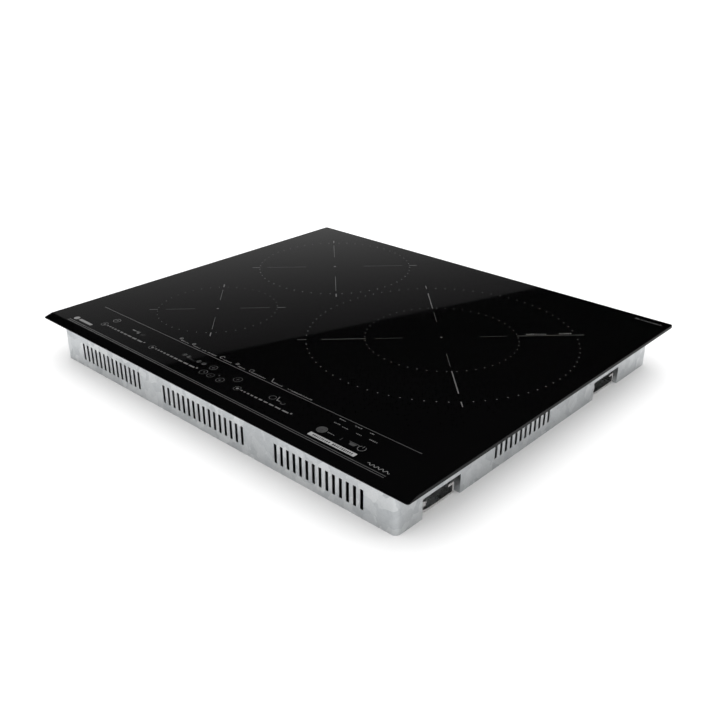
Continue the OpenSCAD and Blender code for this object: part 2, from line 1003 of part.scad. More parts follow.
// wound stator round the bearing tube, and the two sleeve bearings in it
module fan_motor() {
    stator_r = rotor_r - 4;
    arms = 6;
    color("#8b8f94")
        translate([fan_x, fan_y, 17])
            linear_extrude(9)
                difference() {
                    union() {
                        circle(8);
                        for (i = [0:arms - 1])
                            rotate(i * 360 / arms) {
                                translate([0, -1.5])
                                    square([stator_r - 1, 3]);
                                intersection() {
                                    difference() {
                                        circle(stator_r);
                                        circle(stator_r - 1.6);
                                    }
                                    translate([0, -5])
                                        square([stator_r + 1, 10]);
                                }
                            }
                    }
                    circle(6.05);
                }
    color("#b4652c")
        translate([fan_x, fan_y, 0])
            for (i = [0:arms - 1])
                rotate([0, 0, i * 360 / arms])
                    difference() {
                        block([8.4, -2.9, 16], [stator_r - 2, 2.9, 27]);
                        block([7, -1.55, 16.9], [stator_r + 1, 1.55, 26.1]);
                    }
    color("#c9b27a")
        translate([fan_x, fan_y, 0])
            for (z = [15.4, 26])
                tube(3.55, shaft_r + shaft_fit, z, 4);
}

// backward-curved wheel, its rotor cup and the shaft
module fan_wheel() {
    color("#3c4043")
        translate([fan_x, fan_y, 0]) {
            tube(fan_r, rotor_r - 1, wheel_top - 1.4, 1.4);
            tube(fan_r, fan_r - 8, wheel_z, 1.4);
            tube(rotor_r, rotor_r - 1.5, 11, wheel_top - 11);
            translate([0, 0, 11])
                cylinder(r = rotor_r, h = 1.6);
            translate([0, 0, 12])
                cylinder(r = 3.2, h = 2.6);
            translate([0, 0, 12])
                cylinder(r = shaft_r, h = 18.2);
            translate([0, 0, wheel_z + 1])
                linear_extrude(wheel_top - wheel_z - 1.7)
                    for (i = [0:fan_blades - 1])
                        rotate(i * 360 / fan_blades)
                            translate([fan_r - 8.6, 0])
                                rotate(24)
                                    square([8.6, 0.9]);
        }
}

// ---- coils ----

// springs on the posts, which press the coil plates towards the glass
module carrier_springs() {
    height = carrier_z - 0.1 - post_top - 2 * spring_wire_r;
    steps = 12;
    color("#c8c8cc")
        for (post = concat(left_posts, right_posts))
            translate([post[0], post[1], post_top + spring_wire_r])
                wire([for (i = [0:spring_turns * steps])
                        [spring_r * cos(360 * i / steps), spring_r * sin(360 * i / steps),
                         height * i / (spring_turns * steps)]],
                     spring_wire_r, 6);
}

// aluminium plate with guide holes over the posts and holes for the coil leads
module carrier_plate(span, posts, lead_holes, vents) {
    color("#d3d6d8")
        difference() {
            block([span[0], carrier_front, carrier_z], [span[1], carrier_back, carrier_top]);
            for (post = posts)
                translate([post[0], post[1], carrier_z - 1])
                    cylinder(r = guide_pin_r + 0.5, h = carrier_t + 2);
            for (hole = lead_holes)
                translate([hole[0], hole[1], carrier_z - 1])
                    cylinder(r = lead_hole_r, h = carrier_t + 2);
            for (vent = vents)
                translate([vent[0], vent[1], carrier_z - 1])
                    cylinder(r = 12, h = carrier_t + 2);
        }
}

module left_coil_carrier() {
    carrier_plate(left_plate_x, left_posts, [rear_left_lead, front_left_lead],
                  [[rear_left_x, rear_left_y], [front_left_x, front_left_y]]);
}

module right_coil_carrier() {
    carrier_plate(right_plate_x, right_posts, [right_inner_lead, right_outer_lead], [[right_x, right_y]]);
}

// plastic disc with a hub, a rim and legs that stand on the carrier plate
module coil_former(outer, legs, leg_r, leg_turn, windows) {
    hub_r = 16;
    difference() {
        union() {
            translate([0, 0, former_top - former_t])
                cylinder(r = outer, h = former_t);
            translate([0, 0, former_top - eps])
                cylinder(r = hub_r, h = 3.4);
            tube(outer, outer - 1.6, former_top - eps, 2.4);
            for (i = [0:legs - 1])
                rotate([0, 0, leg_turn + i * 360 / legs])
                    translate([leg_r, 0, carrier_top])
                        cylinder(r = 3.4, h = former_top - former_t - carrier_top + eps);
        }
        translate([0, 0, carrier_z])
            cylinder(r = hub_r - 4, h = 30);
        for (i = [0:windows - 1])
            rotate([0, 0, (i + 0.5) * 360 / windows])
                translate([outer * 0.36, -3, former_top - former_t - 1])
                    cube([outer * 0.5, 6, former_t + 2]);
    }
}

module left_coil_formers() {
    color("#e8e4d8") {
        translate([rear_left_x, rear_left_y, 0])
            coil_former(rear_left_r + 2.4, 8, rear_left_r - 6, 22.5, 8);
        translate([front_left_x, front_left_y, 0])
            coil_former(front_left_r + 2.4, 8, front_left_r - 5, 22.5, 8);
    }
}

module right_coil_former() {
    color("#e8e4d8")
        translate([right_x, right_y, 0])
            coil_former(right_r + 2.4, 12, right_r - 6, 15, 12);
}

// flat winding of stranded wire, its turns joined by their varnish
module winding(inner, outer) {
    turns = floor((outer - inner) / litz_pitch);
    color("#9c5a2c")
        translate([0, 0, litz_z])
            rotate_extrude() {
                for (i = [0:turns])
                    translate([outer - litz_r - i * litz_pitch, 0])
                        circle(litz_r, $fn = 32);
                translate([outer - litz_r - turns * litz_pitch, -0.5])
                    square([turns * litz_pitch, 1]);
            }
}

module rear_left_coil() {
    translate([rear_left_x, rear_left_y, 0])
        winding(24, rear_left_r);
}

module front_left_coil() {
    translate([front_left_x, front_left_y, 0])
        winding(24, front_left_r);
}

module right_inner_coil() {
    translate([right_x, right_y, 0])
        winding(24, right_inner_r);
}

module right_outer_coil() {
    translate([right_x, right_y, 0])
        winding(right_inner_r + 8, right_r);
}

// ferrite bars set out like spokes
module spokes(count, from, to, wide) {
    for (i = [0:count - 1])
        rotate([0, 0, i * 360 / count])
            block([from, -wide / 2, ferrite_top - ferrite_t], [to, wide / 2, ferrite_top]);
}

module left_ferrites() {
    color("#3b3d42") {
        translate([rear_left_x, rear_left_y, 0])
            spokes(8, 30, rear_left_r - 2, 13);
        translate([front_left_x, front_left_y, 0])
            spokes(8, 28, front_left_r - 2, 11);
    }
}

module right_ferrites() {
    color("#3b3d42")
        translate([right_x, right_y, 0]) {
            spokes(8, 30, right_inner_r - 2, 13);
            spokes(12, right_inner_r + 6, right_r - 2, 13);
        }
}

// mica disc over a winding, open at the sensor
module mica_disc(outer) {
    tube(outer, 12, mica_top - mica_t, mica_t);
}

module left_mica_sheets() {
    color("#cfc6a6") {
        translate([rear_left_x, rear_left_y, 0])
            mica_disc(rear_left_r + 2);
        translate([front_left_x, front_left_y, 0])
            mica_disc(front_left_r + 2);
    }
}

module right_mica_sheet() {
    color("#cfc6a6")
        translate([right_x, right_y, 0])
            mica_disc(right_r + 2);
}

// sprung temperature probe in the middle of a coil
module sensor() {
    color("#f0efe8") {
        translate([0, 0, carrier_top])
            cylinder(r = 9, h = 2);
        translate([0, 0, carrier_top])
            cylinder(r = 5, h = mica_top - carrier_top - 1.2);
        translate([0, 0, mica_top - 1.2 - eps])
            cylinder(r = 3.4, h = 1.2);
    }
}

module left_sensors() {
    for (centre = [[rear_left_x, rear_left_y], [front_left_x, front_left_y]])
        translate([centre[0], centre[1], 0])
            difference() {
                sensor();
                translate([0, 0, carrier_z])
                    cylinder(r = 1.2, h = 8);
            }
}

module right_sensor() {
    translate([right_x, right_y, 0])
        difference() {
            sensor();
            translate([0, 0, carrier_z])
                cylinder(r = 1.2, h = 8);
        }
}

// screw tag on a power board for each coil lead, in pairs
coil_tags = [[-82, 62], [-96, 62], [-176, 62], [-190, 62], [96, 62], [82, 62], [174, 62], [160, 62]];
lead_holes = [rear_left_lead, front_left_lead, right_inner_lead, right_outer_lead];
lead_top = former_top - former_t - 0.5;
lead_z = (duct_top + carrier_z - coil_travel) / 2;

// pair of braided leads down from every coil to its tags
module coil_leads() {
    color("#b98a4a")
        for (i = [0:7]) {
            hole = lead_holes[floor(i / 2)];
            aside = (i % 2 == 0 ? 3 : -3);
            tag = coil_tags[i];
            run = tag - hole;
            wire(route([[hole[0] + aside, hole[1], lead_top], [hole[0] + aside, hole[1], lead_z + 3],
                        [hole[0] + 0.12 * run[0] + aside, hole[1] + 0.12 * run[1], lead_z],
                        [hole[0] + 0.5 * run[0] + aside / 2, hole[1] + 0.5 * run[1], lead_z],
                        [hole[0] + 0.86 * run[0], hole[1] + 0.86 * run[1], lead_z],
                        [tag[0], tag[1], lead_z - 7], [tag[0], tag[1], board_top + 4.1]], 4), 1.2, 6);
        }
}

// ---- touch controls ----

// plastic channel that holds the touch board up to the glass
module touch_holder() {
    wall = 1.6;
    color("#26272a")
        translate([0, touch_y, 0])
            difference() {
                union() {
                    block([-touch_w / 2, -touch_d / 2, touch_floor],
                          [touch_w / 2, touch_d / 2, touch_board_z + 3]);
                    for (x = [-touch_w / 2 + 8, -78, 78, touch_w / 2 - 8])
                        translate([x, 0, base_z])
                            cylinder(r = 5, h = touch_floor - base_z + eps);
                }
                block([-touch_w / 2 + wall, -touch_d / 2 + wall, touch_board_z - 0.1],
                      [touch_w / 2 - wall, touch_d / 2 - wall, glass_z]);
                block([-touch_w / 2 + 6, -touch_d / 2 + 4, touch_floor + 1.4],
                      [touch_w / 2 - 6, touch_d / 2 - 4, touch_board_z + 1]);
            }
}

module touch_board() {
    inset = 2;
    color("#2f6b3c")
        block([-touch_w / 2 + inset, touch_y - touch_d / 2 + inset, touch_board_z],
              [touch_w / 2 - inset, touch_y + touch_d / 2 - inset, touch_board_z + 1.2]);
}

// conductive foam pads under every slider step and key
module touch_pads() {
    pad_z = touch_board_z + 1.25;
    pad_h = glass_z - 0.15 - pad_z;
    color("#55585c") {
        for (start = slider_x)
            for (i = [0:slider_pads - 1])
                translate([start + (i + 0.5) * slider_len / slider_pads, slider_y, pad_z])
                    cylinder(r = 3.6, h = pad_h);
        for (x = key_x)
            translate([x, key_y, pad_z])
                cylinder(r = 4, h = pad_h);
        for (x = [-22.5, -8.75, 5.5, 162, 190, 213])
            translate([x, slider_y, pad_z])
                cylinder(r = 4, h = pad_h);
    }
}

// segment displays and lamp blocks under the glass
module display_blocks() {
    color("#1a1a1d")
        for (start = slider_x)
            for (i = [0:1])
                block([start + 24 + i * 16, key_y - 6, touch_board_z + 1.25],
                      [start + 36 + i * 16, key_y + 8, glass_z - 0.3]);
}

// flat cable from the touch board down to the right power board
module ribbon_cable() {
    back = touch_y + touch_d / 2;
    color("#d9d7cf")
        translate([112, 0, 0])
            rotate([90, 0, 90])
                linear_extrude(22)
                    polygon([[back + 0.3, 45], [back + 6.6, 45], [back + 6.6, 22], [-150, 22], [-150, 16],
                             [-143.6, 16], [-143.6, 12.9], [-144.4, 12.9], [-144.4, 15.2], [-150.8, 15.2],
                             [-150.8, 21.2], [back + 5.8, 21.2], [back + 5.8, 44.2], [back + 0.3, 44.2]]);
}

glass_top();
glass_adhesive();
worktop_gasket();
support_frame();
bottom_tray();
tray_screws();
rating_plate();
terminal_box();
terminal_cover();
terminal_cover_screw();
terminal_block();
terminal_screws();
cable_gland();
earth_wire();
mains_leads();
filter_board();
filter_parts();
supply_board();
supply_parts();
base_support();
left_power_board();
right_power_board();
left_heatsink();
right_heatsink();
transistors();
board_capacitors();
board_chokes();
board_connectors();
board_screws();
air_duct();
fan_housing();
fan_cover();
fan_motor();
fan_wheel();
carrier_springs();
left_coil_carrier();
left_coil_formers();
rear_left_coil();
front_left_coil();
left_ferrites();
left_mica_sheets();
left_sensors();
right_coil_carrier();
right_coil_former();
right_inner_coil();
right_outer_coil();
right_ferrites();
right_mica_sheet();
right_sensor();
coil_leads();
touch_holder();
touch_board();
touch_pads();
display_blocks();
ribbon_cable();
clamps_hardware();
clamp_front_left();
clamp_front_right();
clamp_back_left();
clamp_back_right();
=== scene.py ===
"""Looks for the built-in induction cooktop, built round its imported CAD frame.

Metres, +X right, +Y back, +Z up. The marks on the glass are drawn in millimetres from the
glass centre, because that is how such a print is laid out.
"""

import json
import math
import random

import bmesh
import bpy
from mathutils import Matrix, Vector


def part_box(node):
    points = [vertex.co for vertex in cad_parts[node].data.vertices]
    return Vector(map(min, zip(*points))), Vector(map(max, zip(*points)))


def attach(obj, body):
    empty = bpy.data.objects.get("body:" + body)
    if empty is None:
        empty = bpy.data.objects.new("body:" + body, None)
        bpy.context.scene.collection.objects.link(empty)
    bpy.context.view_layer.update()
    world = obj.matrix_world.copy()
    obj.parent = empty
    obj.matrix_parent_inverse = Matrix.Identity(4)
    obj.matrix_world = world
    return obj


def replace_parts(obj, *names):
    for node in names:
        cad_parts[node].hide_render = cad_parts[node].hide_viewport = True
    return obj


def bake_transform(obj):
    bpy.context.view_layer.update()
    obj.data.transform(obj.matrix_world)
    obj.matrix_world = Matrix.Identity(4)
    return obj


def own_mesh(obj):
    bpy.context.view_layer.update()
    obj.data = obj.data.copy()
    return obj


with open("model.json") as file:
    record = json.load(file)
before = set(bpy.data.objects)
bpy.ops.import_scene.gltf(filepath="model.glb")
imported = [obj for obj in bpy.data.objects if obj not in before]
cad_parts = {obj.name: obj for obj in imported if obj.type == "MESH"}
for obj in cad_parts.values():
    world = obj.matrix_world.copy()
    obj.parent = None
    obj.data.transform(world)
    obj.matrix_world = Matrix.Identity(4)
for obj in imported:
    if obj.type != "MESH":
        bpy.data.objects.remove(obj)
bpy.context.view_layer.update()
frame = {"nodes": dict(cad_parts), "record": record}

MM = 0.001
BODY = "casing"

GLASS_LOW, GLASS_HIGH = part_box("glass_top")
GLASS_MID = (GLASS_LOW + GLASS_HIGH) / 2


# ---------------------------------------------------------------- camera

CAMERA_AZIMUTH = 42.66  # degrees round from the front, towards the right
CAMERA_ELEVATION = 25.80
CAMERA_DISTANCE = 0.9758
CAMERA_AIM = Vector((0.0837, -0.0801, GLASS_HIGH.z))
CAMERA_LENS = 43.2  # millimetres


def direction(azimuth, elevation):
    """Unit vector towards an azimuth and elevation in degrees. Azimuth 0 is the front."""
    a, e = math.radians(azimuth), math.radians(elevation)
    return Vector((math.sin(a) * math.cos(e), -math.cos(a) * math.cos(e), math.sin(e)))


def make_camera():
    """The camera at the photo's viewing angle."""
    data = bpy.data.cameras.new("camera")
    data.lens = CAMERA_LENS
    camera = bpy.data.objects.new("camera", data)
    bpy.context.scene.collection.objects.link(camera)
    back = direction(CAMERA_AZIMUTH, CAMERA_ELEVATION)
    camera.location = CAMERA_AIM + back * CAMERA_DISTANCE
    camera.rotation_mode = "QUATERNION"
    camera.rotation_quaternion = (-back).to_track_quat("-Z", "Y")
    bpy.context.scene.camera = camera


# ---------------------------------------------------------------- materials

NOISE_ROUGHNESS = 0.55


class Shade:
    """A Principled material, with short calls for the nodes that feed it."""

    def __init__(self, name, **inputs):
        self.material = bpy.data.materials.new(name)
        self.material.use_nodes = True
        self.tree = self.material.node_tree
        self.shader = self.tree.nodes["Principled BSDF"]
        for socket, value in inputs.items():
            self.set(socket.replace("_", " "), value)

    def node(self, kind, **inputs):
        made = self.tree.nodes.new(kind)
        for socket, value in inputs.items():
            self.feed(made.inputs[socket.replace("_", " ")], value)
        return made

    def feed(self, socket, value):
        if isinstance(value, bpy.types.NodeSocket):
            self.tree.links.new(value, socket)
        elif isinstance(socket.default_value, float) or isinstance(value, (tuple, list, str)):
            socket.default_value = (*value, 1) if self.is_colour(socket, value) else value
        else:
            socket.default_value = (value, value, value)

    @staticmethod
    def is_colour(socket, value):
        return socket.type == "RGBA" and len(value) == 3

    def set(self, socket, value):
        self.feed(self.shader.inputs[socket], value)
        return self

    def place(self, scale=(1, 1, 1), turn=(0, 0, 0)):
        """Object coordinates in metres, stretched by scale."""
        coords = self.tree.nodes.new("ShaderNodeTexCoord")
        mapping = self.node("ShaderNodeMapping", Vector=coords.outputs["Object"], Scale=scale)
        mapping.inputs["Rotation"].default_value = turn
        return mapping.outputs["Vector"]

    def noise(self, scale, detail=3.0, place=None):
        made = self.node("ShaderNodeTexNoise", Vector=place or self.place(), Scale=scale)
        made.inputs["Detail"].default_value = detail
        made.inputs["Roughness"].default_value = NOISE_ROUGHNESS
        return made.outputs["Fac"]

    def cells(self, scale, output="Color", place=None, feature="F1"):
        made = self.node("ShaderNodeTexVoronoi", Vector=place or self.place(), Scale=scale)
        made.feature = feature
        return made.outputs[output]

    def waves(self, scale, distortion=0.0, place=None, axis="X"):
        made = self.node("ShaderNodeTexWave", Vector=place or self.place(), Scale=scale)
        made.bands_direction = axis
        made.inputs["Distortion"].default_value = distortion
        return made.outputs["Fac"]

    def span(self, value, low, high, to_low=0.0, to_high=1.0):
        """value from low..high to to_low..to_high, clamped."""
        made = self.node("ShaderNodeMapRange", Value=value)
        limits = {"From Min": low, "From Max": high, "To Min": to_low, "To Max": to_high}
        for socket, number in limits.items():
            made.inputs[socket].default_value = number
        return made.outputs["Result"]

    def mix(self, share, a, b):
        """Colour a where share is 0, and b where it is 1."""
        made = self.tree.nodes.new("ShaderNodeMix")
        made.data_type = "RGBA"
        self.feed(made.inputs["Factor"], share)
        colours = [s for s in made.inputs if s.type == "RGBA"]
        self.feed(colours[0], a)
        self.feed(colours[1], b)
        return [s for s in made.outputs if s.type == "RGBA"][0]

    def sum(self, *values, operation="ADD"):
        total = values[0]
        for value in values[1:]:
            made = self.tree.nodes.new("ShaderNodeMath")
            made.operation = operation
            self.feed(made.inputs[0], total)
            self.feed(made.inputs[1], value)
            total = made.outputs[0]
        return total

    def bump(self, height, depth):
        """Surface relief: height runs 0..1 over depth metres."""
        made = self.node("ShaderNodeBump", Height=height, Distance=depth, Strength=1.0)
        return self.set("Normal", made.outputs["Normal"])


def grey(level, warm=0.0):
    """A grey, with warm as the share by which red is raised and blue is lowered."""
    return (level * (1 + warm), level, level * (1 - warm))


def black_glass():
    """Polished glass-ceramic, with the faintest bloom and wipe marks in its gloss."""
    shade = Shade("black_glass", IOR=1.5)
    bloom = shade.noise(9, detail=4)
    wipes = shade.noise(40, place=shade.place(scale=(1, 6, 1), turn=(0, 0, 0.5)))
    shade.set("Base Color", shade.mix(bloom, (0.0011, 0.0011, 0.0012), (0.0019, 0.0019, 0.002)))
    shade.set("Roughness", shade.span(shade.sum(bloom, wipes), 0.7, 1.3, 0.012, 0.03))
    return shade.material


def ground_glass():
    """Machine-ground rim of the glass: duller than the top, with fine lines along it."""
    shade = Shade("ground_glass", IOR=1.5, Specular_IOR_Level=0.1)
    lines = shade.noise(900, place=shade.place(scale=(0.05, 0.05, 3)))
    shade.set("Base Color", shade.mix(lines, (0.0014, 0.0014, 0.0015), (0.005, 0.005, 0.0052)))
    shade.set("Roughness", shade.span(lines, 0.3, 0.7, 0.34, 0.5))
    shade.bump(lines, 0.004 * MM)
    return shade.material


def enamel(name, tone, right_shade=1.0):
    """Screen print fired into the glass: a grainy grey under the same gloss as the glass.

    tone is the print's grey at the left edge; painted shade darkens it to tone times the last argument at
    the right.
    """
    shade = Shade(name, IOR=1.5)
    grain = shade.noise(2600, detail=2)
    wear = shade.noise(160)
    mottle = shade.span(shade.sum(grain, wear), 0.75, 1.25)
    across = shade.node("ShaderNodeSeparateXYZ", Vector=shade.place()).outputs["X"]
    # Painted shade: share of the way across the glass, left to right, by which the print's grey is
    # darkened.
    shade_across = shade.span(across, GLASS_LOW.x, GLASS_HIGH.x)
    dark, light = 0.86, 1.1
    full = shade.mix(mottle, grey(tone * dark), grey(tone * light))
    # Painted shade: the darker grey that the print takes at the right edge of the glass.
    faint = shade.mix(mottle, grey(tone * right_shade * dark), grey(tone * right_shade * light))
    shade.set("Base Color", shade.mix(shade_across, full, faint))
    shade.set("Roughness", shade.span(grain, 0.3, 0.7, 0.05, 0.12))
    return shade.material


def galvanised_steel():
    """Hot-dip zinc: overlapping crystals, each with its own tone, gloss and tilt."""
    shade = Shade("galvanised_steel", Metallic=1.0)
    edges = shade.noise(130, detail=2)
    jitter = 4 * MM
    place = shade.node("ShaderNodeVectorMath", Vector=shade.place())
    place.operation = "ADD"
    shade.tree.links.new(shade.sum(edges, jitter, operation="MULTIPLY"), place.inputs[1])
    crystals = shade.cells(95, place=place.outputs[0])
    fine = shade.noise(420, detail=5)
    parts = shade.node("ShaderNodeSeparateColor", Color=crystals)
    tone = shade.sum(shade.span(parts.outputs[0], 0, 1, 0, 0.6), shade.span(fine, 0.2, 0.8, 0, 0.4))
    shade.set("Base Color", shade.mix(tone, (0.43, 0.45, 0.465), (0.66, 0.675, 0.68)))
    dull = shade.sum(shade.span(parts.outputs[1], 0, 1, 0.3, 0.46), shade.span(fine, 0.2, 0.8, 0, 0.08))
    shade.set("Roughness", dull)
    relief = shade.sum(shade.span(parts.outputs[2], 0, 1, 0, 0.4), shade.span(fine, 0, 1, 0, 0.6))
    shade.bump(relief, 0.05 * MM)
    return shade.material


def drawn_metal(name, low, high, rough=(0.22, 0.38), warm=0.0):
    """Plated or bright metal: soft blotches of tone under fine forming lines."""
    shade = Shade(name, Metallic=1.0)
    blotch = shade.noise(160, detail=4)
    lines = shade.noise(700, place=shade.place(scale=(1, 1, 0.12)))
    shade.set("Base Color", shade.mix(blotch, grey(low, warm), grey(high, warm)))
    shade.set("Roughness", shade.span(shade.sum(blotch, lines), 0.6, 1.4, *rough))
    shade.bump(lines, 0.01 * MM)
    return shade.material


def aluminium():
    """Mill-finish sheet with rolling lines."""
    shade = Shade("aluminium", Metallic=1.0)
    lines = shade.noise(500, place=shade.place(scale=(1, 0.02, 1)), detail=6)
    dull = shade.noise(45, detail=4)
    shade.set("Base Color", shade.mix(dull, (0.62, 0.63, 0.64), (0.76, 0.765, 0.77)))
    shade.set("Roughness", shade.span(lines, 0.3, 0.7, 0.26, 0.42))
    shade.bump(lines, 0.008 * MM)
    return shade.material


def satin_plate():
    """Blank anodised label plate, brushed across."""
    shade = Shade("plate_aluminium", Metallic=1.0)
    brush = shade.noise(900, place=shade.place(scale=(0.03, 1, 1)), detail=6)
    shade.set("Base Color", shade.mix(brush, (0.66, 0.665, 0.67), (0.8, 0.8, 0.805)))
    shade.set("Roughness", shade.span(brush, 0.3, 0.7, 0.3, 0.45))
    shade.bump(brush, 0.01 * MM)
    return shade.material


def plastic(name, low, high, rough):
    """Moulded plastic with a spark-eroded grain and faint flow marks."""
    shade = Shade(name, IOR=1.5)
    spark = shade.noise(1500, detail=2)
    flow = shade.noise(30, detail=3)
    shade.set("Base Color", shade.mix(flow, low, high))
    shade.set("Roughness", shade.span(spark, 0.3, 0.7, *rough))
    shade.bump(spark, 0.03 * MM)
    return shade.material


def foam():
    """Closed-cell foam: small pores in a dark skin."""
    shade = Shade("foam", IOR=1.45)
    pores = shade.cells(1400, output="Distance")
    tint = shade.noise(200)
    tone = shade.sum(pores, tint, operation="MULTIPLY")
    shade.set("Base Color", shade.mix(tone, grey(0.02), grey(0.05)))
    shade.set("Roughness", shade.span(tint, 0.3, 0.7, 0.75, 0.95))
    shade.bump(pores, 0.15 * MM)
    return shade.material


def silicone():
    """Cured sealant: dark and slightly rippled."""
    shade = Shade("silicone", IOR=1.42)
    ripple = shade.noise(220, detail=2)
    shade.set("Base Color", shade.mix(ripple, grey(0.02), grey(0.035)))
    shade.set("Roughness", shade.span(ripple, 0.3, 0.7, 0.25, 0.4))
    shade.bump(ripple, 0.1 * MM)
    return shade.material


def copper_winding():
    """Twisted strands under clear enamel: a slanted rope pattern round each turn."""
    shade = Shade("copper", Metallic=0.85)
    slant = shade.place(turn=(0.5, 0.4, 0.8))
    rope = shade.waves(950, distortion=2.0, place=slant, axis="DIAGONAL")
    blotch = shade.noise(60, detail=4)
    tone = shade.sum(rope, blotch, operation="MULTIPLY")
    shade.set("Base Color", shade.mix(tone, (0.3, 0.1, 0.04), (0.85, 0.36, 0.16)))
    shade.set("Roughness", shade.span(rope, 0, 1, 0.4, 0.24))
    shade.bump(rope, 0.08 * MM)
    return shade.material


def circuit_board():
    """Solder-masked laminate: copper areas show as a paler green under the mask."""
    shade = Shade("circuit_board", IOR=1.5)
    pads = shade.cells(150, output="Distance", feature="DISTANCE_TO_EDGE")
    tracks = shade.span(pads, 0.08, 0.12)
    weave = shade.sum(shade.waves(900, axis="X"), shade.waves(900, axis="Y"), operation="MULTIPLY")
    green = shade.mix(tracks, (0.008, 0.06, 0.022), (0.016, 0.13, 0.042))
    shade.set("Base Color", shade.mix(shade.span(weave, 0, 1, 0, 0.2), green, (0.03, 0.17, 0.07)))
    shade.set("Roughness", shade.span(shade.noise(300), 0.3, 0.7, 0.22, 0.34))
    shade.bump(shade.sum(tracks, shade.span(weave, 0, 1, 0, 0.3)), 0.04 * MM)
    return shade.material


def ferrite():
    """Sintered ferrite: fine grit with a few paler chips."""
    shade = Shade("ferrite", IOR=1.7)
    grit = shade.noise(1800, detail=4)
    chips = shade.span(shade.noise(90, detail=5), 0.55, 0.75)
    shade.set("Base Color", shade.mix(chips, grey(0.035), grey(0.075, 0.06)))
    shade.set("Roughness", shade.span(grit, 0.3, 0.7, 0.5, 0.7))
    shade.bump(grit, 0.05 * MM)
    return shade.material


def mica():
    """Pressed mica flakes: overlapping pale scales with a pearly gloss."""
    shade = Shade("mica", IOR=1.56)
    flakes = shade.node("ShaderNodeSeparateColor", Color=shade.cells(220))
    shade.set("Base Color", shade.mix(flakes.outputs[0], (0.42, 0.37, 0.24), (0.66, 0.6, 0.44)))
    shade.set("Roughness", shade.span(flakes.outputs[1], 0, 1, 0.28, 0.6))
    shade.bump(flakes.outputs[2], 0.04 * MM)
    return shade.material


def braid():
    """Woven sleeve over the coil leads."""
    shade = Shade("lead_sleeve", IOR=1.5)
    over = shade.waves(420, place=shade.place(turn=(0, 0, 0.8)), axis="X")
    under = shade.waves(420, place=shade.place(turn=(0, 0, -0.8)), axis="X")
    weave = shade.sum(over, under, operation="MULTIPLY")
    shade.set("Base Color", shade.mix(weave, (0.22, 0.13, 0.05), (0.6, 0.42, 0.2)))
    shade.set("Roughness", shade.span(weave, 0, 1, 0.85, 0.6))
    shade.bump(weave, 0.2 * MM)
    return shade.material


def striped_wire():
    """Green insulation with a yellow spiral."""
    shade = Shade("green_wire", IOR=1.5)
    spiral = shade.waves(70, place=shade.place(turn=(0.3, 0.5, 0.7)), axis="DIAGONAL")
    stripe = shade.span(spiral, 0.55, 0.6)
    shade.set("Base Color", shade.mix(stripe, (0.05, 0.3, 0.06), (0.75, 0.6, 0.05)))
    shade.set("Roughness", shade.span(shade.noise(300), 0.3, 0.7, 0.3, 0.42))
    return shade.material


def laminated_steel():
    """Motor laminations: slim plates stacked along Z."""
    shade = Shade("motor_steel", Metallic=1.0)
    sheets = shade.waves(320, axis="Z")
    shade.set("Base Color", shade.mix(sheets, grey(0.16), grey(0.34)))
    shade.set("Roughness", shade.span(sheets, 0, 1, 0.5, 0.3))
    shade.bump(sheets, 0.1 * MM)
    return shade.material


def slot_materials():
    """One material for each slot that the record names.

    The slots are keys of their own, because Blender numbers a material whose name is taken.
    """
    made = {
        "black_glass": black_glass(),
        "silicone": silicone(),
        "foam": foam(),
        "zinc_steel": galvanised_steel(),
        "screw_steel": drawn_metal("screw_steel", 0.5, 0.66, warm=0.02),
        "plate_aluminium": satin_plate(),
    }
    plastics = {
        "black_plastic": ((0.014, 0.014, 0.015), (0.024, 0.024, 0.026), (0.38, 0.55)),
        "grey_plastic": ((0.05, 0.052, 0.055), (0.075, 0.077, 0.08), (0.38, 0.55)),
        "pale_plastic": ((0.66, 0.63, 0.55), (0.76, 0.73, 0.66), (0.35, 0.5)),
        "component_plastic": ((0.2, 0.05, 0.03), (0.3, 0.08, 0.05), (0.2, 0.32)),
        "brown_wire": ((0.1, 0.045, 0.02), (0.15, 0.07, 0.035), (0.25, 0.4)),
        "sensor_ceramic": ((0.78, 0.77, 0.72), (0.88, 0.87, 0.84), (0.45, 0.65)),
        "ribbon_plastic": ((0.66, 0.64, 0.6), (0.74, 0.72, 0.68), (0.3, 0.42)),
    }
    for slot, (low, high, rough) in plastics.items():
        made[slot] = plastic(slot, low, high, rough)
    made.update({
        "brass": drawn_metal("brass", 0.5, 0.6, warm=0.3),
        "green_wire": striped_wire(),
        "circuit_board": circuit_board(),
        "aluminium": aluminium(),
        "copper": copper_winding(),
        "motor_steel": laminated_steel(),
        "spring_steel": drawn_metal("spring_steel", 0.4, 0.58, rough=(0.15, 0.3)),
        "ferrite": ferrite(),
        "mica": mica(),
        "lead_sleeve": braid(),
        "clamp_steel": drawn_metal("clamp_steel", 0.46, 0.64, warm=0.015),
    })
    return made


# ---------------------------------------------------------------- mesh pieces

def new_piece(name, bm, materials, smooth_angle=30, ride=True):
    """Turns a bmesh into a named object, which rides on the casing unless ride is off."""
    mesh = bpy.data.meshes.new(name)
    bm.normal_update()
    bm.to_mesh(mesh)
    bm.free()
    for material in materials:
        mesh.materials.append(material)
    mesh.shade_smooth()
    mesh.set_sharp_from_angle(angle=math.radians(smooth_angle))
    piece = bpy.data.objects.new(name, mesh)
    bpy.context.scene.collection.objects.link(piece)
    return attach(piece, BODY) if ride else piece


def rounded_outline(low, high, radius, steps=12):
    """Corner points of a rectangle with round corners, anticlockwise."""
    corners = [(high.x - radius, high.y - radius, 0), (low.x + radius, high.y - radius, 90),
               (low.x + radius, low.y + radius, 180), (high.x - radius, low.y + radius, 270)]
    return [
        (x + radius * math.cos(math.radians(start + 90 * i / steps)),
         y + radius * math.sin(math.radians(start + 90 * i / steps)))
        for x, y, start in corners
        for i in range(steps + 1)
    ]


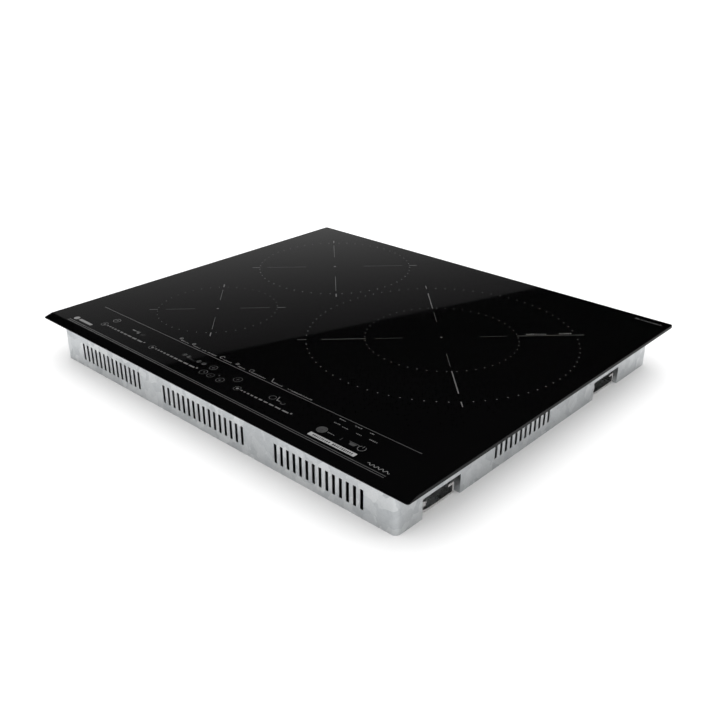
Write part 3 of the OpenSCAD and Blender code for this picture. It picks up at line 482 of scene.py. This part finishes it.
GLASS_CORNER = 3 * MM
SLOPE_WIDTH = 11.5 * MM
SLOPE_LIP = 1 * MM  # thickness left at the front edge
ARRIS = 0.45 * MM
ARRIS_LEAST_ANGLE = math.radians(12)  # edges flatter than this stay as they are


def glass_plate(materials):
    """The glass: a plate with round corners and a slope in front. All but its top and slope is ground."""
    bm = bmesh.new()
    outline = rounded_outline(GLASS_LOW, GLASS_HIGH, GLASS_CORNER)
    base = bm.faces.new([bm.verts.new((x, y, GLASS_LOW.z)) for x, y in outline])
    top = bmesh.ops.extrude_face_region(bm, geom=[base])["geom"]
    lift = Vector((0, 0, GLASS_HIGH.z - GLASS_LOW.z))
    bmesh.ops.translate(bm, vec=lift, verts=[v for v in top if isinstance(v, bmesh.types.BMVert)])
    rise = lift.z - SLOPE_LIP
    normal = Vector((0, -rise, SLOPE_WIDTH)).normalized()
    cut = bmesh.ops.bisect_plane(
        bm, geom=bm.verts[:] + bm.edges[:] + bm.faces[:],
        plane_co=(0, GLASS_LOW.y + SLOPE_WIDTH, GLASS_HIGH.z), plane_no=normal, clear_outer=True,
    )["geom_cut"]
    bmesh.ops.edgeloop_fill(bm, edges=[e for e in cut if isinstance(e, bmesh.types.BMEdge)])
    bmesh.ops.recalc_face_normals(bm, faces=bm.faces)
    sharp = [e for e in bm.edges if e.is_manifold and e.calc_face_angle() > ARRIS_LEAST_ANGLE]
    bmesh.ops.bevel(
        bm, geom=sharp, offset=ARRIS, offset_type="OFFSET", segments=3, profile=0.5,
        affect="EDGES", clamp_overlap=True,
    )
    polished, ground = 0, 1
    slope_back = GLASS_LOW.y + SLOPE_WIDTH + ARRIS
    for face in bm.faces:
        on_top = face.normal.z > 0.9999
        on_slope = face.normal.z > 0.9 and face.calc_center_median().y < slope_back
        face.material_index = polished if on_top or on_slope else ground
    piece = new_piece("glass", bm, materials, smooth_angle=50)
    weigh = piece.modifiers.new("weighted_normals", "WEIGHTED_NORMAL")
    weigh.keep_sharp = True
    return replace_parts(piece, "glass_top")


PRINT_SINK = 0.01 * MM
PRINT_RISE = 0.03 * MM


class Print:
    """Enamel marks on the glass, drawn in millimetres from the glass centre."""

    def __init__(self):
        self.bm = bmesh.new()

    def outline(self, points):
        """A filled shape. points are (x, y), anticlockwise."""
        low = [self.vertex(p, -PRINT_SINK) for p in points]
        high = [self.vertex(p, PRINT_RISE) for p in points]
        self.bm.faces.new(high)
        self.bm.faces.new(low[::-1])
        for i in range(len(points)):
            j = (i + 1) % len(points)
            self.bm.faces.new((low[i], low[j], high[j], high[i]))

    def vertex(self, point, rise):
        """A vertex at point (x, y), rise metres above the glass."""
        x, y = point
        return self.bm.verts.new((GLASS_MID.x + x * MM, GLASS_MID.y + y * MM, GLASS_HIGH.z + rise))

    def strip(self, left, right, closed=False):
        """A band between two rows of points."""
        left_low, left_high, right_low, right_high = [
            [self.vertex(p, rise) for p in side]
            for side in (left, right)
            for rise in (-PRINT_SINK, PRINT_RISE)
        ]
        count = len(left)
        for i in range(count if closed else count - 1):
            j = (i + 1) % count
            self.bm.faces.new((left_high[i], left_high[j], right_high[j], right_high[i]))
            self.bm.faces.new((left_low[j], left_low[i], right_low[i], right_low[j]))
            self.bm.faces.new((left_low[i], left_low[j], left_high[j], left_high[i]))
            self.bm.faces.new((right_low[j], right_low[i], right_high[i], right_high[j]))
        if not closed:
            self.bm.faces.new((left_low[0], left_high[0], right_high[0], right_low[0]))
            self.bm.faces.new((left_high[-1], left_low[-1], right_low[-1], right_high[-1]))

    def bar(self, x0, x1, y, wide):
        """A level line from x0 to x1."""
        self.outline([(x0, y - wide / 2), (x1, y - wide / 2), (x1, y + wide / 2), (x0, y + wide / 2)])

    def stroke(self, points, wide):
        """A line of even width through points."""
        left, right = [], []
        for i, (x, y) in enumerate(points):
            ax, ay = points[max(i - 1, 0)]
            bx, by = points[min(i + 1, len(points) - 1)]
            length = math.hypot(bx - ax, by - ay)
            nx, ny = -(by - ay) / length * wide / 2, (bx - ax) / length * wide / 2
            left.append((x + nx, y + ny))
            right.append((x - nx, y - ny))
        self.strip(right, left)

    def dot(self, x, y, r, sides=14):
        angles = [math.tau * i / sides for i in range(sides)]
        self.outline([(x + r * math.cos(a), y + r * math.sin(a)) for a in angles])

    def ring(self, x, y, r, wide, start=0, turn=360):
        """A circle of centre-line radius r, or an arc of it from start through turn degrees."""
        steps = max(8, int(28 * turn / 360))
        angles = [math.radians(start + turn * i / steps) for i in range(steps + (turn < 360))]
        inner, outer = [
            [(x + edge * math.cos(a), y + edge * math.sin(a)) for a in angles]
            for edge in (r - wide / 2, r + wide / 2)
        ]
        self.strip(outer, inner, closed=turn == 360)

    def piece(self, name, material):
        bmesh.ops.recalc_face_normals(self.bm, faces=self.bm.faces)
        made = new_piece(name, self.bm, [material])
        return made


def polar(centre, angle, radius):
    """The point at an angle in degrees and a radius from a centre."""
    a = math.radians(angle)
    return centre[0] + radius * math.cos(a), centre[1] + radius * math.sin(a)


def centre_of(node):
    """Middle of a CAD node, in millimetres from the glass centre."""
    low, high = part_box(node)
    mid = (low + high) / 2 - GLASS_MID
    return mid.x / MM, mid.y / MM


ALONG, ACROSS = (135, 315), (45, 225)  # degrees of the cross arms on each diagonal


def dotted_ring(mark, centre, radius, dots, pitch, dot_r):
    """Dots pitch degrees apart, in four groups that leave room for the cross arms."""
    for quarter in range(4):
        for i in range(dots):
            x, y = polar(centre, 90 * quarter + pitch * (i - (dots - 1) / 2), radius)
            mark.dot(x, y, dot_r, sides=10)


def rays(mark, centre, start, end, along, across):
    """Four cross arms between two radii; along and across are the widths on each diagonal."""
    for angles, wide in ((ALONG, along), (ACROSS, across)):
        for angle in angles:
            mark.stroke([polar(centre, angle, start), polar(centre, angle, end)], wide)


def arm_words(mark, centre, start, end, seed):
    """Short upright strokes above the rear right arm that stand in for small print."""
    arm, upright, above = 45, 135, 3.0
    pick = random.Random(seed)
    along = start
    while along < end:
        place = polar(centre, arm, along)
        tall = pick.choice((2.2, 3.2, 3.2))
        mark.stroke([polar(place, upright, above), polar(place, upright, above + tall)], 0.9)
        along += pick.uniform(2.2, 3.4)


def zone_prints(material):
    """Dotted circles with four cross arms over each coil."""
    mark = Print()
    rear, front, right = [centre_of(n) for n in ("rear_left_coil", "front_left_coil", "right_outer_coil")]
    dotted_ring(mark, rear, 108.5, 13, 6.8, 0.85)
    rays(mark, rear, 42, 98, 0.65, 0.5)
    rays(mark, rear, 108.5, 119.5, 1.6, 1.2)
    mark.dot(*rear, 1.7)
    dotted_ring(mark, front, 76.4, 10, 9, 0.58)
    rays(mark, front, 29, 66.5, 0.45, 0.4)
    rays(mark, front, 76.5, 87, 1.4, 0.9)
    mark.dot(*front, 1.4)
    dotted_ring(mark, right, 161.6, 19, 4.5, 0.73)
    dotted_ring(mark, right, 91.6, 13, 6.92, 0.62)
    rays(mark, right, 46, 79, 0.28, 0.25)
    rays(mark, right, 90.5, 143, 1.2, 0.58)
    rays(mark, right, 161, 172, 1.2, 0.7)
    mark.stroke([polar(right, 45, 143), polar(right, 45, 161)], 0.5)
    mark.dot(*right, 1.2)
    return mark.piece("zone_prints", material)


PANEL_LEFT, PANEL_RIGHT = -265.6, 260.6
LONG_LINE_Y = -187.5
BAND_LINES_Y = (-238.5, -241.3)
SLIDER_Y = -218.75
SLIDERS = ((-217.5, 0.5, 2.5), (-117.5, 0.33, 2.25), (34.75, 0.3, 2.0))  # start x, ring and dash widths


def greeked(mark, x0, x1, y, height, seed):
    """Short upright strokes that stand in for printed words."""
    pick = random.Random(seed)
    x = x0
    while x < x1 - 0.8:
        wide = pick.uniform(0.8, 1.5)
        tall = height * pick.choice((0.7, 1.0, 1.0))
        end = min(x + wide, x1)
        low = y - height / 2
        mark.outline([(x, low), (end, low), (end, low + tall), (x, low + tall)])
        x += wide + pick.uniform(0.6, 1.1)


def frame_lines(material):
    """Long rule above the controls, and the double rule along the front slope."""
    mark = Print()
    mark.bar(PANEL_LEFT, PANEL_RIGHT, LONG_LINE_Y, 1.0)
    for y in BAND_LINES_Y:
        mark.bar(PANEL_LEFT, PANEL_RIGHT, y, 1.1)
    return mark.piece("frame_prints", material)


def slider(mark, x, y, ring_wide, dash_wide):
    """Touch slider: a ringed start point, ten dashes that grow, and an end point."""
    mark.ring(x, y, 4.2, ring_wide)
    mark.dot(x + 0.4, y, 1.6)
    at, dash, gap, growth = x + 6.2, 2.2, 2.6, 1.17
    for _ in range(10):
        mark.bar(at, at + dash, y, dash_wide)
        at += dash + gap
        dash *= growth
    mark.dot(x + 82, y + 1.2, 1.3)


def function_row(mark):
    """Row of cooking-function marks just above the long rule, each with a small sign."""
    runs = [
        (-109, -95), (-86, -73), (-69, -62), (-59, -44), (-31, -17.5), (-5, 6.25),
        (17.5, 40), (51, 68), (80.6, 113),
    ]
    for seed, (x0, x1) in enumerate(runs):
        greeked(mark, x0, x1, -183.5, 1.9, seed)
    for x in (-112.5, -88.5):
        mark.ring(x, -180.5, 2.0, 0.8)
        mark.dot(x, -180.5, 0.8)
    mark.ring(-35.6, -181, 2.6, 0.9, start=20, turn=300)
    for i in range(3):
        mark.bar(-12, -7.5, -182 + 1.5 * i, 0.6)
    mark.ring(14.7, -181, 2.7, 0.5)
    mark.stroke([(46.6, -177), (50.2, -183.6)], 1.0)
    mark.ring(76.9, -182, 1.9, 0.5, start=180, turn=180)


def timer_key(mark, x, y, r):
    """Clock face: a ring with two hands."""
    mark.ring(x, y, r, 0.8)
    mark.stroke([(x, y + r * 0.55), (x, y)], 0.7)
    mark.stroke([(x, y), (x + r * 0.5, y)], 0.7)


def plus_key(mark, x, y, r, wide=0.8):
    """Ring with a plus in it."""
    mark.ring(x, y, r, wide)
    mark.bar(x - r * 0.45, x + r * 0.45, y, wide)
    mark.stroke([(x, y - r * 0.45), (x, y + r * 0.45)], wide)


def minus_key(mark, x, y, r, wide):
    """Ring with a minus in it."""
    mark.ring(x, y, r, wide)
    mark.bar(x - r * 0.45, x + r * 0.45, y, wide)


def lock_key(mark, x, y, r):
    """Ring with a small padlock in it."""
    mark.ring(x, y, r, 0.7)
    mark.bar(x - r * 0.3, x + r * 0.3, y - r * 0.2, r * 0.35)
    mark.ring(x, y, r * 0.22, 0.5, start=0, turn=180)


def pan_sign(mark, x, y):
    """Small pan: a bowl, a rim and a handle."""
    mark.bar(x - 3, x + 3, y, 1.8)
    mark.bar(x + 3, x + 7, y + 0.4, 0.8)


def heat_sign(mark, x, y):
    """Three rising wisps."""
    for i in range(3):
        mark.stroke([(x + i * 2.2 + 0.5 * math.sin(t * 1.6), y + t) for t in range(5)], 0.7)


def key_prints(material):
    """Sliders, and the words and level marks round them."""
    mark = Print()
    for x, ring_wide, dash_wide in SLIDERS:
        slider(mark, x, SLIDER_Y, ring_wide, dash_wide)
    function_row(mark)
    timer_key(mark, -215.25, -202.5, 4.6)
    pan_sign(mark, -174, -205)
    heat_sign(mark, -168, -206.5)
    mark.dot(-164, -206.6, 1.8)
    mark.stroke([(82.5, -201.5), (85.5, -208.5), (89.5, -207.5)], 1.1)
    level_words(mark)
    return mark.piece("key_prints", material)


def soft_key_prints(material):
    """Round keys and signs in a fainter enamel."""
    mark = Print()
    for x in (-213.5, -217):
        mark.bar(x - 1, x + 1, -202.5, 3.6)
    mark.ring(-154.5, -206, 2.2, 0.8)
    for x in (-73, -65, -47, -38):
        mark.ring(x, -205.6, 2.4, 1.1)
        mark.dot(x, -205.6, 1.4)
    mark.bar(-61, -51, -208, 0.7)
    plus_key(mark, -22.2, -204.7, 4.6)
    timer_key(mark, -22.5, SLIDER_Y, 4.8)
    minus_key(mark, -10, SLIDER_Y, 4.2, wide=0.5)
    lock_key(mark, 6.25, SLIDER_Y, 4.6)
    mark.dot(-2.5, -212.5, 0.9)
    plus_key(mark, 19.7, -205, 5.0, wide=0.55)
    mark.ring(77.75, -207, 3.8, 0.8)
    mark.ring(94.5, -208, 2.6, 1.0, start=180, turn=200)
    right_keys(mark)
    return mark.piece("soft_key_prints", material)


def power_key(mark, x, y, r):
    """Broken ring with a stroke in its gap."""
    mark.ring(x, y, r, 0.6, start=125, turn=290)
    mark.stroke([(x, y + r * 0.2), (x, y + r * 1.1)], 0.6)


def level_words(mark):
    """Two rows of level marks, a short word and the power key at the right."""
    for seed, (x0, x1) in enumerate([(159.4, 168.75), (180.3, 190.2), (200, 206.4)]):
        greeked(mark, x0, x1, -191.7, 1.6, 20 + seed)
    greeked(mark, 160.2, 168, -200.3, 1.6, 30)
    for seed, (x0, x1) in enumerate([(172.2, 180), (190.8, 198), (207.7, 218)]):
        greeked(mark, x0, x1, -201.3, 1.6, 31 + seed)
    greeked(mark, 169, 178, -218.5, 1.4, 40)
    power_key(mark, 213.5, -218.5, 4.2)


def right_keys(mark):
    """Ribbed round key, pause line and pan-shaped key."""
    mark.bar(187.2, 187.7, SLIDER_Y, 5)
    mark.outline([(199, -221), (205, -221), (206.5, -217.2), (197.5, -217.2)])
    mark.bar(195.5, 208.5, -216.2, 0.9)
    for i in range(4):
        mark.ring(161.5, SLIDER_Y, 1.1 + 1.4 * i, 1.2)


def bright_prints(material):
    """The brightest marks: a dot and bar at the front left, a wave, and strokes above one cross arm."""
    mark = Print()
    right = centre_of("right_outer_coil")
    arm_words(mark, right, 104, 127, 60)
    arm_words(mark, right, 144, 159, 61)
    mark.dot(-260, -231.4, 4.0, sides=24)
    mark.bar(-253, -227, -231.4, 4.2)
    left, wide, steps, per_wave = 233.75, 26.8, 60, 12
    wave = [
        (left + wide * i / steps, -232.8 + 1.5 * math.sin(math.tau * i / per_wave))
        for i in range(steps + 1)
    ]
    mark.stroke(wave, 0.55)
    return mark.piece("badge_prints", material)


def bar_print(material):
    """Solid key bar with two groups of small dark gaps along its middle."""
    mark = Print()
    left, right, top, bottom = 156.5, 217.4, -228.4, -234.3
    word = 3.0  # height of the gaps
    hairline = 0.02  # keeps the bars between the gaps from sharing edges with the rims
    margin, between_words, word_space = 5, 183.5, 2.4
    middle = (top + bottom) / 2
    rim = (top - bottom - word) / 2
    mark.bar(left, right, top - rim / 2, rim)
    mark.bar(left, right, bottom + rim / 2, rim)
    pick = random.Random(7)
    x, wide = left, margin
    while x + wide < right - margin:
        mark.bar(x, x + wide, middle, word - hairline)
        before = x
        x += wide + pick.uniform(1.0, 1.6)
        wide = pick.uniform(0.9, 1.6)
        if before < between_words <= x:
            wide += word_space
    mark.bar(x, right, middle, word - hairline)
    return mark.piece("bar_print", material)


def corner_print(material):
    """Faint small marks in the rear right corner."""
    mark = Print()
    greeked(mark, 256, 263, 243.4, 4.4, 50)
    greeked(mark, 264, 291, 242.9, 3.0, 51)
    return mark.piece("corner_print", material)


# ---------------------------------------------------------------- CAD nodes

def dress_nodes(materials):
    """Gives every CAD node the material of its slot."""
    slots = {s["node"]: s["material_slot"] for s in frame["record"]["subparts"]}
    for name, node in frame["nodes"].items():
        material = materials[slots[name]]
        for place in node.material_slots:
            place.material = material
        if not node.material_slots:
            node.data.materials.append(material)


BETWEEN_PLATES = -46 * MM  # X of the gap between the left and right coil plates


def side_of(node, name, finish, left):
    """A copy of the solids of a CAD node on one side of the gap between the coil plates."""
    bm = bmesh.new()
    bm.from_mesh(frame["nodes"][node].data)
    others = [f for f in bm.faces if (f.calc_center_median().x < BETWEEN_PLATES) != left]
    bmesh.ops.delete(bm, geom=others, context="FACES")
    bmesh.ops.remove_doubles(bm, verts=bm.verts, dist=0.001 * MM)
    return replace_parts(new_piece(name, bm, [finish], smooth_angle=70, ride=False), node)


def springs_and_leads(materials):
    """The springs and coil leads, each split into a left and a right piece at the gap between the coil
    plates; the springs ride on the casing.
    """
    for side in ("left", "right"):
        on_left = side == "left"
        springs = side_of("carrier_springs", side + "_springs", materials["spring_steel"], on_left)
        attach(springs, BODY)
        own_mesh(springs)
        leads = side_of("coil_leads", side + "_leads", materials["lead_sleeve"], on_left)
        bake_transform(leads)


# ---------------------------------------------------------------- stage

WORLD_STRENGTH = 1.45
FLOOR_HALF = 40
FLOOR_TONE = 0.93
WINDOW_RISE = 1.5


def stage_mesh(name, corners, material):
    """A flat face that isn't part of the object."""
    mesh = bpy.data.meshes.new(name)
    mesh.from_pydata([Vector(c) for c in corners], [], [tuple(range(len(corners)))])
    mesh.materials.append(material)
    made = bpy.data.objects.new(name, mesh)
    bpy.context.scene.collection.objects.link(made)
    return made


def make_floor():
    """A matt pale floor under the tray."""
    paint = bpy.data.materials.new("floor")
    paint.use_nodes = True
    shader = paint.node_tree.nodes["Principled BSDF"]
    shader.inputs["Base Color"].default_value = (*grey(FLOOR_TONE), 1)
    shader.inputs["Roughness"].default_value = 0.9
    shader.inputs["Specular IOR Level"].default_value = 0.0
    half = FLOOR_HALF
    stage_mesh("floor", [(-half, -half, 0), (half, -half, 0), (half, half, 0), (-half, half, 0)], paint)


def make_world():
    """Even white light from all round, which reflections don't see."""
    world = bpy.data.worlds.new("world")
    bpy.context.scene.world = world
    world.use_nodes = True
    sky = world.node_tree.nodes["Background"]
    sky.inputs["Color"].default_value = (1, 1, 1, 1)
    sky.inputs["Strength"].default_value = WORLD_STRENGTH
    world.cycles_visibility.glossy = False


def gradient_panel(name, origin, along, across, size, levels):
    """A glowing panel that only reflections see.

    size is its width across, and where it starts and ends along. Its glow at s metres across and
    t metres along is (levels[0] + levels[1] s + levels[2] t) squared.
    """
    material = bpy.data.materials.new(name)
    material.use_nodes = True
    tree = material.node_tree
    tree.nodes.clear()
    coords = tree.nodes.new("ShaderNodeTexCoord")
    dot = tree.nodes.new("ShaderNodeVectorMath")
    dot.operation = "DOT_PRODUCT"
    dot.inputs[1].default_value = (levels[1], levels[2], 0)
    tree.links.new(coords.outputs["Object"], dot.inputs[0])
    add = tree.nodes.new("ShaderNodeMath")
    add.inputs[1].default_value = levels[0]
    tree.links.new(dot.outputs["Value"], add.inputs[0])
    power = tree.nodes.new("ShaderNodeMath")
    power.operation = "POWER"
    power.inputs[1].default_value = 2
    tree.links.new(add.outputs[0], power.inputs[0])
    glow = tree.nodes.new("ShaderNodeEmission")
    tree.links.new(power.outputs[0], glow.inputs["Strength"])
    out = tree.nodes.new("ShaderNodeOutputMaterial")
    tree.links.new(glow.outputs[0], out.inputs["Surface"])
    wide, t0, t1 = size
    panel = stage_mesh(name, [(0, t0, 0), (wide, t0, 0), (wide, t1, 0), (0, t1, 0)], material)
    x, y = Vector(across).normalized(), Vector(along).normalized()
    panel.matrix_world = Matrix.Translation(origin) @ Matrix((x, y, x.cross(y))).transposed().to_4x4()
    panel.visible_camera = False
    panel.visible_diffuse = False
    panel.visible_shadow = False
    panel.visible_transmission = False


def make_stage():
    """The floor, the light from all round, and two panels for the glass to reflect."""
    bpy.context.scene.view_settings.view_transform = "Standard"
    make_world()
    make_floor()
    gradient_panel(
        "window_panel",
        origin=(-2.708, 1.5, GLASS_HIGH.z + WINDOW_RISE),
        along=(0.3405, 0.9402, 0),
        across=(-0.9402, 0.3405, 0),
        size=(2.4, -0.8, 3.2),
        levels=(0.2, 0.189, 0.023),
    )
    gradient_panel(
        "door_panel",
        origin=(1.9, -2.3, 0.1),
        along=(0.8, 0.6, 0),
        across=(-0.2, -0.2, 1),
        size=(2.6, 0, 4),
        levels=(0.1, 0.06, 0.17),
    )


# ---------------------------------------------------------------- build

make_camera()
make_stage()
finishes = slot_materials()
dress_nodes(finishes)
springs_and_leads(finishes)
glass_plate([finishes["black_glass"], ground_glass()])
zone_prints(enamel("line_enamel", tone=0.1))
# The frame lines are darkened towards the right as painted shade.
frame_lines(enamel("frame_enamel", tone=0.082, right_shade=0.5))
key_prints(enamel("key_enamel", tone=0.11))
soft_key_prints(enamel("soft_enamel", tone=0.045))
bright_prints(enamel("badge_enamel", tone=0.19))
bar_print(enamel("bar_enamel", tone=0.27))
corner_print(enamel("corner_enamel", tone=0.07))
